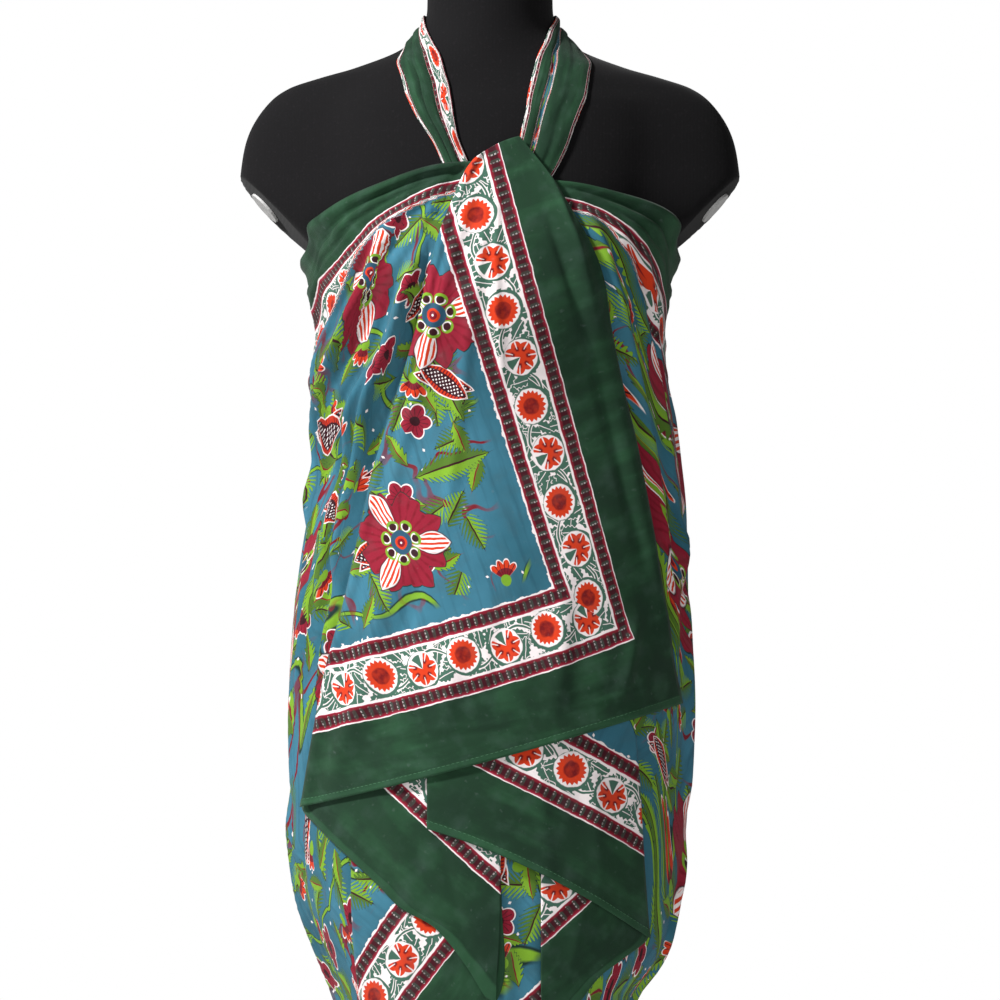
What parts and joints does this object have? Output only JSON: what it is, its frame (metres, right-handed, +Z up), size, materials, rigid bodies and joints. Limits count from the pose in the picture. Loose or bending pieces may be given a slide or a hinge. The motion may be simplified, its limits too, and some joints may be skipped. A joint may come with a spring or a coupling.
{
  "type": "sarong worn as a halter wrap on a limbless dress form",
  "caption": "Block printed cotton sarong wrapped and tied behind the neck, shown on a limbless dress form with a round stand.",
  "frame": {"origin": "centre of the whole part's footprint, on the surface that the stand's base rests on", "axes": "+Z up, +X to the viewer's right as the part is seen from the front, the front faces -Y"},
  "size_m": [0.4246, 0.4, 1.512],
  "materials": {
    "printed_cotton": "soft matte block printed cotton, fine plain weave",
    "form_jersey": "matte black jersey stretched over a firm form",
    "arm_plate": "satin pale grey plate",
    "stand_metal": "satin black painted steel"
  },
  "bodies": {
    "root": {"body_wrap": "printed_cotton", "front_panel": "printed_cotton", "under_panel": "printed_cotton", "left_cascade": "printed_cotton", "left_cascade_lower": "printed_cotton", "right_cascade": "printed_cotton", "centre_fall": "printed_cotton", "halter_strap_left": "printed_cotton", "halter_strap_right": "printed_cotton", "nape_knot": "printed_cotton", "nape_tail_left": "printed_cotton", "nape_tail_right": "printed_cotton", "dress_form": "form_jersey", "arm_plate_left": "arm_plate", "arm_plate_right": "arm_plate", "neck_cap": "stand_metal", "stand_pole": "stand_metal", "stand_base": "stand_metal"}
  },
  "joints": []
}
